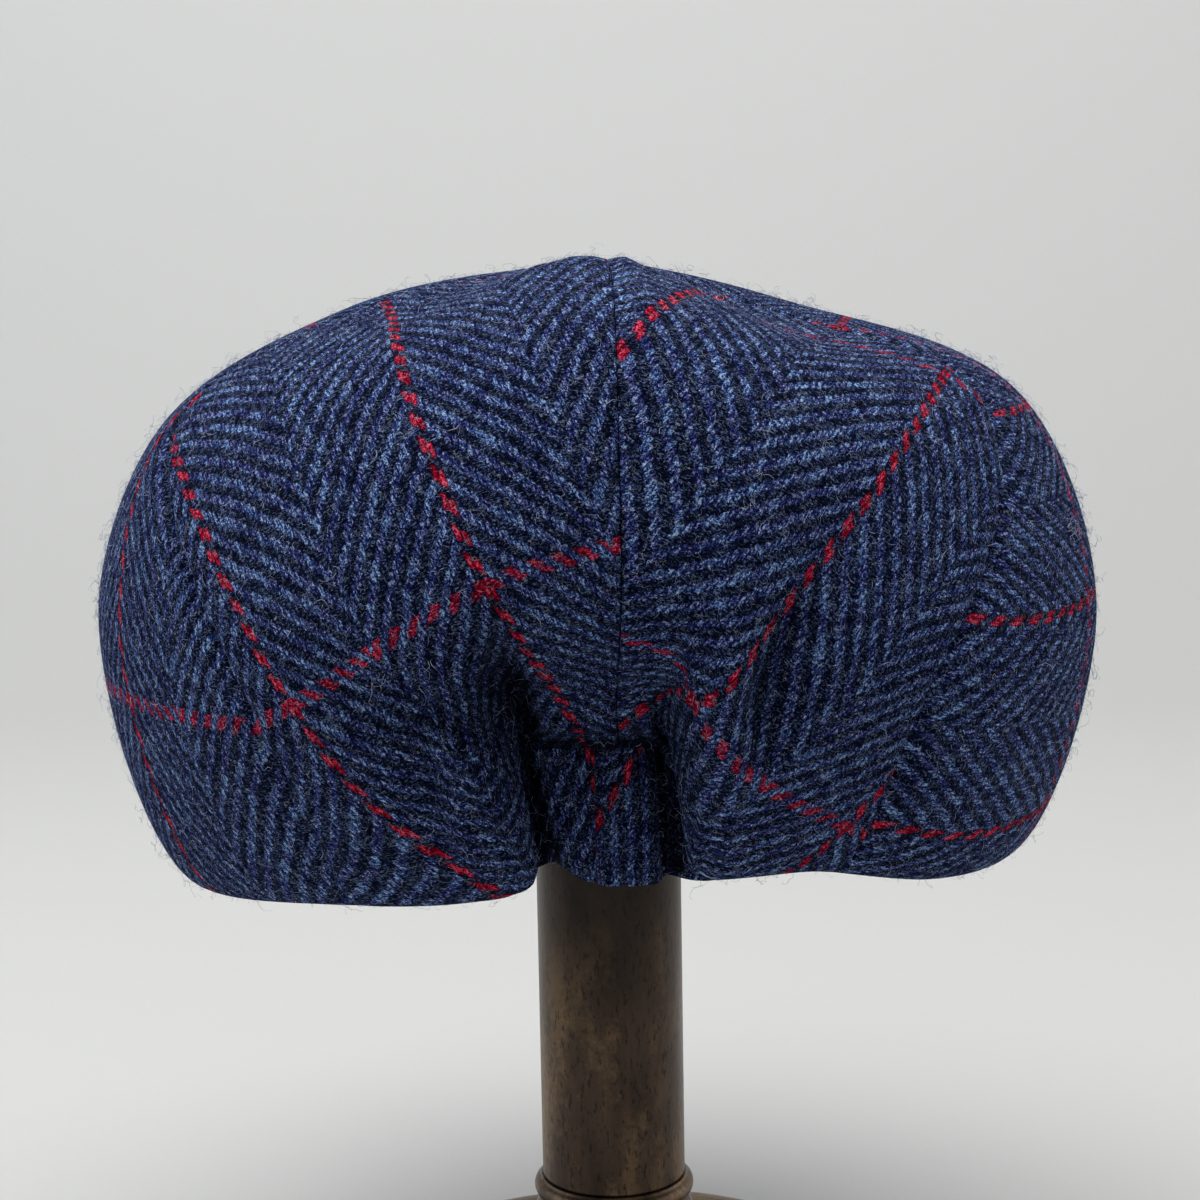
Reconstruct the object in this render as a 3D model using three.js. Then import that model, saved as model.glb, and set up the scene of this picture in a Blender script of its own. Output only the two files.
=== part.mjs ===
import * as THREE from 'three';

// Eight-panel flat cap on a turned hat stand.
// Millimetres. +Z is up and +Y points to the peak (the front of the cap).
// The origin is the middle of the underside of the stand's base.
// Azimuths are degrees about the crown's own centre line: 0 is the centre
// back (-Y), +90 is the wearer's right hand side (+X), 180 is the front.

// Driving sizes
const CROWN_X = 1.5;           // crown centre line
const CROWN_Y = 15;
const APEX_Z = 308.5;          // where the eight panels meet
const CLOTH = 2.0;             // tweed wall
const SEAM_GAP = 0.22;         // each panel stops this far short of its seam
const SEAM_DIP = 1.3;          // depth of the groove along a seam
const SEAM_REACH = 3.6;        // half width of that groove
const BAND_A = 80;             // half width of the head band, outside
const BAND_B = 95;             // half length of the head band, outside
const BAND_Y = 6;              // middle of the head band
const BAND_TOP = 195;
const BAND_FOOT = 161;
const BAND_WALL = 2.6;
const RIB_DEPTH = 1.0;         // gathers of the elastic at the centre back
const RIB_PITCH = 4.6;         // degrees from one gather to the next
const RIB_REACH = 30;          // degrees either side of the back they fade over
const BAND_PUFF = 1.4;         // how far the band swells between its two edges
const BAND_PULL = 1.2;         // how far the elastic draws it in at the back
const FOOT_RISE = 4.4;         // how far the band's foot is drawn up left of the back
const LEAN = 6.4;              // degrees the lobe left of the back swings in as it hangs
const LEAN_AT = -16;           // azimuth of that lobe's edge
const LEAN_REACH = 13;         // degrees either side that swing with it
const LEAN_TOP = 206;          // height where the swing starts
const LEAN_DROP = 38;          // how far below that it is full
const PEAK_WALL = 3.6;
const PEAK_REACH = 58;         // how far the peak stands out at the front
const PEAK_SPREAD = 26;        // how far its shoulders stand out to the sides
const PEAK_ARCH = 13;          // how far its sides drop below its middle
const PEAK_HALF = 64;          // degrees either side of the front
const POST_R = 20;
const BASE_R = 90;
const BASE_H = 16;
const COLLAR_R = 22.4;
const COLLAR_FOOT = 38;
const COLLAR_TOP = 54;
const DOME_FOOT = 248;
const FIT = 0.3;               // clearance between neighbouring pieces

// Crown sections, one row for each azimuth. Each row places four stations of
// the profile: the droop (lowest point of the overhang), the widest point,
// the shoulder and the crest, as a distance out from the centre line and a
// height. The profile starts on the band and ends at the apex.
const SECTION_COLUMNS = ['azimuth', 'droopOut', 'droopZ', 'wideOut', 'wideZ',
  'shoulderOut', 'shoulderZ', 'crestOut', 'crestZ'];
const SECTIONS = [
  [-180, 114, 167, 122, 190, 106, 232, 62, 278],
  [-140, 118, 163, 136, 192, 118, 238, 66, 283],
  [-105, 116, 151, 138, 208, 121, 252, 70, 291],
  [-82, 114, 148, 138, 225, 120, 265, 70, 296.5],
  [-60, 118, 150, 142, 224, 125, 269.5, 71, 298],
  [-38, 117, 156, 145, 216, 126, 274.5, 67, 299.5],
  [-22, 113, 161, 146, 220, 126, 277, 66, 304.5],
  [-18.5, 112, 163, 145.5, 221.5, 126, 278, 65, 306],
  [-16.2, 110.5, 166, 145, 223, 126, 278.5, 64.5, 306.5],
  [-14.6, 107.8, 191, 144.5, 225, 126, 279, 64, 307],
  [-12.6, 107, 200, 143.5, 228, 126, 280, 63.5, 307.5],
  [-9.6, 107, 200, 142, 232, 126, 282, 63, 308.5],
  [0, 107.5, 202, 140, 237, 125, 284, 62, 309],
  [5.8, 107, 200, 141, 234, 125, 283.5, 62.5, 308.5],
  [7.7, 107.5, 190, 142, 231, 125, 282.5, 63, 307.5],
  [9.2, 109, 167.5, 143.5, 229, 125, 281.5, 63.5, 306.5],
  [12, 111, 166, 145, 228, 125, 280.5, 64.5, 305],
  [20, 112, 166, 145, 226, 124, 277, 66, 301],
  [40, 118, 158.5, 143, 214, 121, 273.5, 62, 293.5],
  [62, 113, 154, 137, 219, 116.5, 273, 54, 295],
  [84, 107, 153, 130, 220, 109.5, 272.5, 50, 296.5],
  [108, 114, 154, 134, 208, 116, 252, 58, 291.5],
  [142, 118, 164, 134, 192, 117, 238, 67, 282],
];

// Seam azimuths at the six stations, round the cap from the front left.
const SEAM_COLUMNS = ['name', 'band', 'droop', 'wide', 'shoulder', 'crest', 'apex'];
const SEAMS = [
  ['front_left', -132, -132, -132, -140, -141, -135],
  ['side_left', -84, -84, -86, -98, -100, -92],
  ['back_left', -32, -32.5, -37.5, -60, -62, -48],
  ['back_centre', 0.4, 0.4, 0.9, 1, 1.2, 0],
  ['back_right', 26.5, 26.5, 32, 52, 56, 46],
  ['side_right', 80, 80, 83, 95, 98, 91],
  ['front_right', 131, 131, 131, 138, 139, 135],
  ['front_centre', 180, 180, 180, 180, 180, 180],
];

// Folds and swells that lie on the crown. Rows with the same name join into
// one line. Depth goes inward, a negative depth stands proud.
const FOLD_COLUMNS = ['name', 'azimuth', 'z', 'width', 'depth'];
const FOLDS = [
  ['left slot', -15.0, 172, 2.4, 2.5],
  ['left slot', -14.8, 186, 3.0, 4.0],
  ['left slot', -12.8, 202, 4.4, 10.0],
  ['left slot', -11.6, 214, 5.5, 12.5],
  ['left slot', -11.6, 226, 6.5, 8.0],
  ['left slot', -12.4, 240, 8.0, 0.5],
  ['left hollow', -14.0, 212, 6.5, 3.5],
  ['left hollow', -17.0, 210, 9.0, 8.0],
  ['left hollow', -21.5, 211, 9.5, 5.5],
  ['left hollow', -28.0, 217, 10, 0.5],
  ['left pocket', -20.0, 202, 5.0, 3.0],
  ['left pocket', -19.8, 194, 4.2, 6.0],
  ['left pocket', -21.4, 182, 3.8, 2.6],
  ['left pocket', -23.0, 168, 3.2, 1.8],
  ['left lobe', -17.6, 196, 4.5, -1.5],
  ['left lobe', -18.6, 178, 5.0, -2.2],
  ['right slot', 8.7, 168, 2.4, 3.0],
  ['right slot', 8.2, 186, 2.8, 4.5],
  ['right slot', 7.0, 202, 3.4, 8.0],
  ['right slot', 6.4, 209, 3.8, 5.0],
  ['right slot', 6.2, 217, 4.5, 0.5],
  ['right ridge', 11.0, 176, 3.2, -2.0],
  ['right ridge', 10.8, 200, 3.2, -3.4],
  ['right ridge', 10.2, 214, 4.5, -2.8],
  ['right ridge', 11.0, 232, 7.0, -1.0],
  ['right hollow', 14.6, 200, 4.5, 3.5],
  ['right hollow', 14.0, 211, 6.0, 8.5],
  ['right hollow', 15.5, 225, 8.0, 8.0],
  ['right hollow', 20.0, 243, 10, 4.2],
  ['right hollow', 27.5, 259, 12, 0.5],
  ['left crease', -34.0, 172, 7.0, 1.4],
  ['left crease', -33.0, 196, 8.0, 1.8],
  ['left crease', -26.0, 214, 9.0, 1.0],
  ['right crease', 25.0, 168, 6.0, 1.2],
  ['right crease', 28.0, 200, 8.0, 1.4],
  ['front left dent', -150.0, 186, 12, 2.0],
  ['front left dent', -146.0, 214, 14, 1.0],
  ['front right dent', 152.0, 184, 12, 2.0],
  ['front right dent', 147.0, 212, 14, 1.0],
];

const STATIONS = 5;            // intervals between band 0 and apex 5
const RAD = Math.PI / 180;
const clamp = (x, lo, hi) => Math.min(hi, Math.max(lo, x));
const mix = (a, b, t) => a + (b - a) * t;

// Cubic through a value and a slope at both ends of a span h
function cubic(a, b, slopeA, slopeB, h, t) {
  const s = 1 - t;
  return (1 + 2 * t) * s * s * a + t * s * s * h * slopeA
    + t * t * (3 - 2 * t) * b + t * t * (t - 1) * h * slopeB;
}

// Slope at a knot from the chords on its two sides, held back so that the
// curve never swings past its knots
function heldSlope(left, right, hLeft, hRight) {
  if (left * right <= 0) return 0;
  const slope = (left * hRight + right * hLeft) / (hLeft + hRight);
  return Math.sign(slope) * Math.min(Math.abs(slope), 2.2 * Math.min(Math.abs(left), Math.abs(right)));
}

// Read one section row at any azimuth, smoothly round the ring
function sectionAt(azimuth) {
  const n = SECTIONS.length;
  const knot = i => SECTIONS[((i % n) + n) % n][0] + 360 * Math.floor(i / n);
  const x = azimuth - 360 * Math.floor((azimuth + 180) / 360);
  let i = n - 1;
  while (SECTIONS[i][0] > x) i -= 1;
  const h = [knot(i) - knot(i - 1), knot(i + 1) - knot(i), knot(i + 2) - knot(i + 1)];
  const t = (x - knot(i)) / h[1];
  const row = k => SECTIONS[((k % n) + n) % n];
  return SECTION_COLUMNS.slice(1).map((_, c) => {
    const v = [i - 1, i, i + 1, i + 2].map(k => row(k)[c + 1]);
    const chord = [0, 1, 2].map(k => (v[k + 1] - v[k]) / h[k]);
    return cubic(v[1], v[2], heldSlope(chord[0], chord[1], h[0], h[1]),
      heldSlope(chord[1], chord[2], h[1], h[2]), h[1], t);
  });
}

// Distance from the crown's centre line to the band's outer face
function bandOut(azimuth) {
  const dx = Math.sin(azimuth * RAD);
  const dy = -Math.cos(azimuth * RAD);
  const oy = CROWN_Y - BAND_Y;
  const a = (dx / BAND_A) ** 2 + (dy / BAND_B) ** 2;
  const b = 2 * (CROWN_X * dx / BAND_A ** 2 + oy * dy / BAND_B ** 2);
  const c = (CROWN_X / BAND_A) ** 2 + (oy / BAND_B) ** 2 - 1;
  return (-b + Math.sqrt(b * b - 4 * a * c)) / (2 * a);
}

// Smooth crown profile: [out, z] at an azimuth and a station 0..5
function profile(azimuth, station) {
  const q = sectionAt(azimuth);
  const p = [[bandOut(azimuth) + FIT + 0.1, BAND_TOP + FIT + 0.1]];
  for (let k = 0; k < 4; k += 1) p.push([q[2 * k], q[2 * k + 1]]);
  p.push([0, APEX_Z]);
  const len = [];
  const way = [];
  for (let k = 0; k < STATIONS; k += 1) {
    len.push(Math.hypot(p[k + 1][0] - p[k][0], p[k + 1][1] - p[k][1]));
    way.push([(p[k + 1][0] - p[k][0]) / len[k], (p[k + 1][1] - p[k][1]) / len[k]]);
  }
  const tangent = k => {
    if (k === 0) return way[0];
    if (k === STATIONS) return [-1, 0.12];
    return [0, 1].map(c => (way[k - 1][c] * len[k] + way[k][c] * len[k - 1]) / (len[k] + len[k - 1]));
  };
  const i = clamp(Math.floor(station), 0, STATIONS - 1);
  const a = tangent(i);
  const b = tangent(i + 1);
  return [0, 1].map(c => cubic(p[i][c], p[i + 1][c], a[c], b[c], len[i], station - i));
}

// Seam azimuth at a station
function seamAt(index, station) {
  const row = SEAMS[((index % 8) + 8) % 8].slice(1);
  const turn = 360 * Math.floor(index / 8);
  const i = clamp(Math.floor(station), 0, STATIONS - 1);
  const v = [i - 1, i, i + 1, i + 2].map(k => row[clamp(k, 0, STATIONS)]);
  const slope = k => (v[k + 1] - v[k - 1]) / 2;
  return turn + cubic(v[1], v[2], slope(1), slope(2), 1, station - i);
}

// How far a fold line presses in at a place on the crown
function foldDepth(azimuth, out, z) {
  let total = 0;
  let best = 0;
  FOLDS.forEach((row, k) => {
    const next = FOLDS[k + 1];
    if (next && next[0] === row[0]) {
      const scale = out * RAD;
      const ux = (next[1] - row[1]) * scale;
      const uz = next[2] - row[2];
      const wx = (azimuth - row[1]) * scale;
      const wz = z - row[2];
      const t = clamp((wx * ux + wz * uz) / (ux * ux + uz * uz), 0, 1);
      const away = Math.hypot(wx - ux * t, wz - uz * t) / mix(row[3], next[3], t);
      const depth = mix(row[4], next[4], t) * Math.exp(-away * away);
      if (Math.abs(depth) > Math.abs(best)) best = depth;
    } else {
      total += best;
      best = 0;
    }
  });
  return total;
}

// Degrees that a place on the crown swings in towards the band
function lean(azimuth, z) {
  const low = clamp((LEAN_TOP - z) / LEAN_DROP, 0, 1);
  return LEAN * low * Math.exp(-(((azimuth - LEAN_AT) / LEAN_REACH) ** 2));
}

// Crown skin with its seams and folds. Seams press in along their length.
function skin(azimuth, station) {
  const [out, z] = profile(azimuth, station);
  let near = Infinity;
  for (let k = -1; k <= 8; k += 1) near = Math.min(near, Math.abs(azimuth - seamAt(k, station)));
  const away = near * RAD * out / SEAM_REACH;
  const visible = clamp(station - 0.9, 0, 1);
  const top = clamp((STATIONS - station) * 1.6, 0, 1);
  const press = SEAM_DIP * Math.exp(-away * away) * visible * top
    + foldDepth(azimuth, out, z) * clamp(station * 1.4 - 0.5, 0, 1);
  const lower = clamp((station - 3) / 1.6, 0, 1);
  const r = out - press * (1 - lower);
  const a = (azimuth + lean(azimuth, z)) * RAD;
  return new THREE.Vector3(CROWN_X + r * Math.sin(a), CROWN_Y - r * Math.cos(a), z - press * lower);
}

function skinNormal(azimuth, station) {
  const da = 0.9;
  const ds = 0.06;
  const s = clamp(station, ds, STATIONS - 0.2);
  const east = skin(azimuth + da, s).sub(skin(azimuth - da, s));
  const up = skin(azimuth, s + ds).sub(skin(azimuth, s - ds));
  return east.cross(up).normalize();
}

// A closed wall: a grid of outer points with a matching grid of inner points,
// joined by faces along every open edge.
function wall(outer, inner, closedRound) {
  const rows = outer.length;
  const cols = outer[0].length;
  const points = [...outer.flat(), ...inner.flat()];
  const at = (side, i, j) => side * rows * cols + i * cols + (j % cols);
  const faces = [];
  const quad = (a, b, c, d) => faces.push(a, b, c, a, c, d);
  const span = closedRound ? cols : cols - 1;
  for (let i = 0; i < rows - 1; i += 1) {
    for (let j = 0; j < span; j += 1) {
      quad(at(0, i, j), at(0, i, j + 1), at(0, i + 1, j + 1), at(0, i + 1, j));
      quad(at(1, i, j), at(1, i + 1, j), at(1, i + 1, j + 1), at(1, i, j + 1));
    }
  }
  for (let j = 0; j < span; j += 1) {
    quad(at(0, 0, j), at(1, 0, j), at(1, 0, j + 1), at(0, 0, j + 1));
    quad(at(0, rows - 1, j), at(0, rows - 1, j + 1), at(1, rows - 1, j + 1), at(1, rows - 1, j));
  }
  if (!closedRound) {
    for (let i = 0; i < rows - 1; i += 1) {
      quad(at(0, i, 0), at(0, i + 1, 0), at(1, i + 1, 0), at(1, i, 0));
      quad(at(0, i, cols - 1), at(1, i, cols - 1), at(1, i + 1, cols - 1), at(0, i + 1, cols - 1));
    }
  }
  const geometry = new THREE.BufferGeometry();
  const numbers = points.flatMap(p => [p.x, p.y, p.z]);
  geometry.setAttribute('position', new THREE.Float32BufferAttribute(numbers, 3));
  geometry.setIndex(faces);
  geometry.computeVertexNormals();
  return geometry;
}

const materials = {
  tweed: new THREE.MeshStandardMaterial({ name: 'tweed', color: 0x26324f, roughness: 0.95 }),
  bronzed_wood: new THREE.MeshStandardMaterial({ name: 'bronzed_wood', color: 0x3d2a1c, roughness: 0.45 }),
};
const group = new THREE.Group();
function add(name, geometry, material) {
  const mesh = new THREE.Mesh(geometry, materials[material]);
  mesh.name = name;
  group.add(mesh);
}

// Where the grid lines fall: close together at seams, tucks and the droop
const BACK_LEFT_COLUMNS = [0, 0.05, 0.12, 0.23, 0.33, 0.41, 0.46, 0.495, 0.525, 0.55, 0.58, 0.61, 0.64,
  0.675, 0.71, 0.77, 0.87, 0.96, 1];
const BACK_RIGHT_COLUMNS = [0, 0.03, 0.08, 0.14, 0.19, 0.225, 0.26, 0.29, 0.32, 0.35, 0.39, 0.44, 0.5, 0.58,
  0.67, 0.77, 0.87, 0.95, 1];
const SIDE_COLUMNS = [0, 0.05, 0.14, 0.27, 0.42, 0.58, 0.73, 0.86, 0.95, 1];
const FRONT_COLUMNS = [0, 0.07, 0.24, 0.5, 0.76, 0.93, 1];
const ROWS = [0, 0.4, 0.8, 1, 1.18, 1.36, 1.52, 1.66, 1.8, 1.94, 2.12, 2.35, 2.65, 3, 3.35, 3.75, 4.3, 4.97];

function panel(name, left, columns) {
  const outer = [];
  const inner = [];
  ROWS.forEach(station => {
    const from = seamAt(left, station);
    const to = seamAt(left + 1, station);
    const inset = SEAM_GAP / Math.max(profile((from + to) / 2, station)[0], 0.8) / RAD;
    outer.push(columns.map(t => skin(mix(from + inset, to - inset, t), station)));
    inner.push(columns.map((t, j) => {
      const azimuth = mix(from + inset, to - inset, t);
      return outer[outer.length - 1][j].clone().addScaledVector(skinNormal(azimuth, station), -CLOTH);
    }));
  });
  add(name, wall(outer, inner, false), 'tweed');
}

panel('crown_back_left', 2, BACK_LEFT_COLUMNS);
panel('crown_back_right', 3, BACK_RIGHT_COLUMNS);
panel('crown_side_back_left', 1, SIDE_COLUMNS);
panel('crown_side_back_right', 4, SIDE_COLUMNS);
panel('crown_side_front_left', 0, FRONT_COLUMNS);
panel('crown_side_front_right', 5, FRONT_COLUMNS);
panel('crown_front_left', -1, FRONT_COLUMNS);
panel('crown_front_right', 6, FRONT_COLUMNS);

// Head band: an oval ring, gathered into ribs by elastic at the centre back.
// Its azimuth runs about its own middle. The rows press its seam and the two
// deep gathers beside it inward, each along a line from the foot to the top.
const BAND_FOLD_COLUMNS = ['name', 'footAzimuth', 'topAzimuth', 'width', 'depth'];
const BAND_FOLDS = [
  ['seam', -2.3, -2.3, 0.9, 1.2],
  ['left slot', -11.5, -17.0, 3.2, 10],
  ['right slot', 11.8, 10.4, 2.6, 8],
];
function bandPoint(azimuth, level, offset) {
  const back = Math.exp(-2 * (azimuth / RIB_REACH) ** 2);
  const rib = RIB_DEPTH * Math.cos(360 * (azimuth + 0.4) / RIB_PITCH * RAD) * back;
  const puff = BAND_PUFF * Math.sin(Math.PI * level) * (0.4 + 0.6 * back);
  let grow = offset - BAND_PULL * back + rib * (0.45 + 0.55 * level) + puff;
  BAND_FOLDS.forEach(([, footAzimuth, topAzimuth, width, depth]) => {
    grow -= depth * Math.exp(-(((azimuth - mix(footAzimuth, topAzimuth, level)) / width) ** 2));
  });
  const foot = BAND_FOOT + FOOT_RISE * back * (1 - Math.tanh((azimuth + 5) / 3)) / 2;
  return new THREE.Vector3((BAND_A + grow) * Math.sin(azimuth * RAD),
    BAND_Y - (BAND_B + grow) * Math.cos(azimuth * RAD), mix(foot, BAND_TOP, level));
}
const bandColumns = [];
for (let k = -20; k <= 20; k += 1) bandColumns.push(k * RIB_PITCH / 4);
for (let k = 1; k <= 32; k += 1) bandColumns.push(mix(5 * RIB_PITCH, 360 - 5 * RIB_PITCH, k / 33));
const bandLevels = [0, 0.12, 0.4, 0.7, 0.92, 1];
add('head_band', wall(bandLevels.map(v => bandColumns.map(a => bandPoint(a, v, 0))),
  bandLevels.map(v => bandColumns.map(a => bandPoint(a, v, -BAND_WALL))), true), 'tweed');

// Peak: a crescent set against the foot of the band at the front, arched from
// side to side and sloping down to its free edge.
function peakPoint(angle, way, under) {
  const open = Math.cos(angle / PEAK_HALF * Math.PI / 2);
  const reach = PEAK_REACH * open ** 0.6 * way;
  const spread = PEAK_SPREAD * Math.sin(angle / PEAK_HALF * Math.PI / 2) * open ** 0.5 * way;
  const x = (BAND_A + FIT + 0.25) * Math.sin(angle * RAD) + spread;
  const y = BAND_Y + (BAND_B + FIT + 0.25) * Math.cos(angle * RAD) + reach;
  const fall = 0.17 * reach + PEAK_ARCH * (x / BAND_A) ** 2 * way * clamp(open * 3, 0, 1);
  return new THREE.Vector3(x, y, BAND_FOOT + 4.6 - fall - under * PEAK_WALL * (1 - 0.35 * way ** 6));
}
const peakAngles = Array.from({ length: 29 }, (_, k) => (k / 14 - 1) * PEAK_HALF * 0.985);
const peakWays = [0, 0.3, 0.6, 0.85, 0.97, 1];
add('peak', wall(peakWays.map(v => peakAngles.map(a => peakPoint(a, v, 0))),
  peakWays.map(v => peakAngles.map(a => peakPoint(a, v, 1))), false), 'tweed');

// Hat stand: base, collar, post and the rounded dome inside the crown.
function turned(name, profileRows, material, sides = 40) {
  const points = profileRows.map(([r, z]) => new THREE.Vector2(r, z));
  const geometry = new THREE.LatheGeometry(points, sides);
  geometry.rotateX(Math.PI / 2);
  add(name, geometry, material);
}
turned('stand_base', [[0, 0], [BASE_R - 3, 0], [BASE_R - 1, 1.5], [BASE_R, 5], [BASE_R - 0.5, 9],
  [BASE_R - 3, 13], [BASE_R - 8, BASE_H - 0.6], [BASE_R - 16, BASE_H], [38, BASE_H], [30, 18.5],
  [24, 25], [21, 33], [20.5, COLLAR_FOOT - FIT], [0, COLLAR_FOOT - FIT]], 'bronzed_wood', 48);
turned('stand_collar', [[0, COLLAR_FOOT], [20.4, COLLAR_FOOT], [21.8, 40], [COLLAR_R, 43.5], [21.6, 47],
  [20.6, 48.2], [21.9, 49.2], [COLLAR_R, 51.2], [21.9, 53.2], [20.8, COLLAR_TOP],
  [0, COLLAR_TOP]], 'bronzed_wood');
turned('stand_post', [[0, COLLAR_TOP + FIT], [POST_R, COLLAR_TOP + FIT], [POST_R, DOME_FOOT - FIT],
  [0, DOME_FOOT - FIT]], 'bronzed_wood', 36);
turned('stand_dome', [[0, DOME_FOOT], [22, DOME_FOOT], [34, 251.5], [42, 258], [45, 266], [44, 273],
  [39, 279.5], [30, 286.5], [20, 293.5], [10, 300.5], [0, APEX_Z - CLOTH - 0.7]], 'bronzed_wood', 32);

export default group;
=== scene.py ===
"""Looks of a panelled flat cap on its hat stand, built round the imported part.

Tables and sizes are in millimetres, the scene is in metres. +Z is up and +Y
points to the peak, so the gathered back of the cap faces -Y.
"""

import math

import bpy
import numpy as np
from mathutils import Matrix, Vector


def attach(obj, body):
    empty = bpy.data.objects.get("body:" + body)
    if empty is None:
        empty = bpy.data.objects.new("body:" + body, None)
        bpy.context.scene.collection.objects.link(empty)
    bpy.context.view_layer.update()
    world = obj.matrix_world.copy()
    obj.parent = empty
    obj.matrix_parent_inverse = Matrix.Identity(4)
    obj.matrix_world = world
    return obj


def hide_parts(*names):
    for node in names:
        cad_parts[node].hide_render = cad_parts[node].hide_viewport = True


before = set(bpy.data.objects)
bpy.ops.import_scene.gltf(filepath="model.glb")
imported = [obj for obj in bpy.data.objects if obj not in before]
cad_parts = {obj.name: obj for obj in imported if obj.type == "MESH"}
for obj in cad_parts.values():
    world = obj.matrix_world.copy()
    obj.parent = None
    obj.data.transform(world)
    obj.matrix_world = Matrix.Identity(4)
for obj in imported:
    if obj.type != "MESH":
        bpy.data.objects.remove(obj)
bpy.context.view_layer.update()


# ---------------------------------------------------------------- hat stand
# A turned round post on a heavy round base, with a double bead where they meet
# and a rounded dome inside the crown. It is hardwood under a bronze finish that
# has rubbed golden in patches, and the four pieces are pegged end to end.
MM = 0.001
FIT = 0.3                        # gap between pieces that touch
POST_R = 20.0
BASE_R, BASE_H = 90.0, 16.0
COLLAR_R, COLLAR_FOOT, COLLAR_TOP = 22.4, 38.0, 54.0
DOME_FOOT, DOME_TOP = 248.0, 305.8


class Wire:
    """A shader value that can be written as ordinary arithmetic."""

    def __init__(self, tree, socket):
        self.tree, self.socket = tree, socket

    def op(self, kind, *others):
        node = self.tree.nodes.new("ShaderNodeMath")
        node.operation = kind
        for slot, value in zip(node.inputs, (self, *others)):
            if isinstance(value, Wire):
                self.tree.links.new(value.socket, slot)
            else:
                slot.default_value = value
        return Wire(self.tree, node.outputs[0])

    def __add__(self, other):
        return self.op("ADD", other)

    def __sub__(self, other):
        return self.op("SUBTRACT", other)

    def __rsub__(self, other):
        return self * -1.0 + other

    def __mul__(self, other):
        return self.op("MULTIPLY", other)

    __radd__, __rmul__ = __add__, __mul__

    def __truediv__(self, other):
        return self.op("DIVIDE", other)

    def __mod__(self, size):
        return self.op("FLOORED_MODULO", size)

    def __pow__(self, power):
        return self.op("POWER", power)

    def __abs__(self):
        return self.op("ABSOLUTE")

    def __lt__(self, edge):
        return self.op("LESS_THAN", edge)

    def floor(self):
        return self.op("FLOOR")

    def fract(self):
        return self.op("FRACT")

    def most(self, other):
        return self.op("MAXIMUM", other)

    def clip(self):
        return self.op("MINIMUM", 1.0).most(0.0)


class Look:
    """A material whose nodes are made by name."""

    def __init__(self, name):
        self.material = bpy.data.materials.new(name)
        self.material.use_nodes = True
        self.tree = self.material.node_tree
        self.shader = self.tree.nodes["Principled BSDF"]

    def put(self, socket, value):
        if isinstance(value, Wire):
            self.tree.links.new(value.socket, socket)
        else:
            socket.default_value = value

    def node(self, kind, inputs=None, out=0, stops=None, **settings):
        """A node of this kind: settings and ramp stops first, then its inputs. Returns one output."""
        node = self.tree.nodes.new("ShaderNode" + kind)
        for key, value in settings.items():
            setattr(node, key, value)
        for k, (place, colour) in enumerate(stops or []):
            knots = node.color_ramp.elements
            knot = knots[k] if k < 2 else knots.new(1.0)
            knot.position, knot.color = place, (*colour, 1)
        for key, value in (inputs or {}).items():
            self.put(node.inputs[key], value)
        return Wire(self.tree, node.outputs[out])

    def set(self, **values):
        """Sets inputs of the surface shader; words are joined by an underscore."""
        for key, value in values.items():
            self.put(self.shader.inputs[key.replace("_", " ")], value)

    def vector(self, x, y, z=0.0):
        return self.node("CombineXYZ", {"X": x, "Y": y, "Z": z})

    def noise(self, place, scale, detail=2.0, roughness=0.5):
        inputs = {"Vector": place, "Scale": scale, "Detail": detail, "Roughness": roughness}
        return self.node("TexNoise", inputs)

    def ramp(self, amount, *stops):
        return self.node("ValToRGB", {0: amount}, stops=stops)

    def blend(self, amount, a, b):
        """Goes from colour a to colour b by an amount."""
        return self.node("Mix", {0: amount, 6: a, 7: b}, out=2, data_type="RGBA")

    def bump(self, height, strength, distance):
        return self.node("Bump", {"Height": height, "Strength": strength, "Distance": distance})


def bronzed_wood():
    """Nearly black at the top from painted shade under the cap, with golden wear lower down, small dark pits
    and a satin polish.
    """
    look = Look("bronzed_wood")
    place = look.node("TexCoord", out=3)
    height = look.node("SeparateXYZ", {0: place}, out=2)
    # Painted shade under the cap grows towards the top of the post, and the golden wear fades out there.
    top_shade_and_unworn = ((height - 0.095) / 0.055).clip()
    upright = look.node("VectorMath", {0: place, 1: (1.0, 1.0, 0.35)}, operation="MULTIPLY")
    cloud = look.noise(upright, 30.0, 4.0, 0.6)
    streak = look.noise(upright, 150.0, 3.0, 0.65)
    pit = look.noise(upright, 900.0, 2.0, 0.6)
    scuff = look.noise(upright, 48.0, 3.0, 0.6)
    mottle = look.noise(place, 420.0, 4.0, 0.75)
    base = look.ramp(cloud * 0.7 + streak * 0.3, (0.34, (0.026, 0.016, 0.011)), (0.50, (0.070, 0.044, 0.028)),
                     (0.66, (0.170, 0.106, 0.058)))
    worn = ((scuff - 0.47) * 4.5 + (mottle - 0.5) * 1.6).clip() * (1.0 - top_shade_and_unworn)
    colour = look.blend(worn * 0.6, base, (0.31, 0.195, 0.095, 1))
    colour = look.blend(((pit - 0.56) * 9.0).clip() * 0.7, colour, (0.008, 0.005, 0.004, 1))
    # Painted shade: the top of the post, under the cap, goes nearly black.
    colour = look.blend(top_shade_and_unworn * 0.85, colour, (0.008, 0.006, 0.006, 1))
    look.set(Base_Color=colour, Roughness=scuff * 0.30 + 0.22, Normal=look.bump(pit + streak, 0.12, 0.0005))
    look.set(Metallic=0.55, Specular_IOR_Level=0.3)
    return look.material


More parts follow.
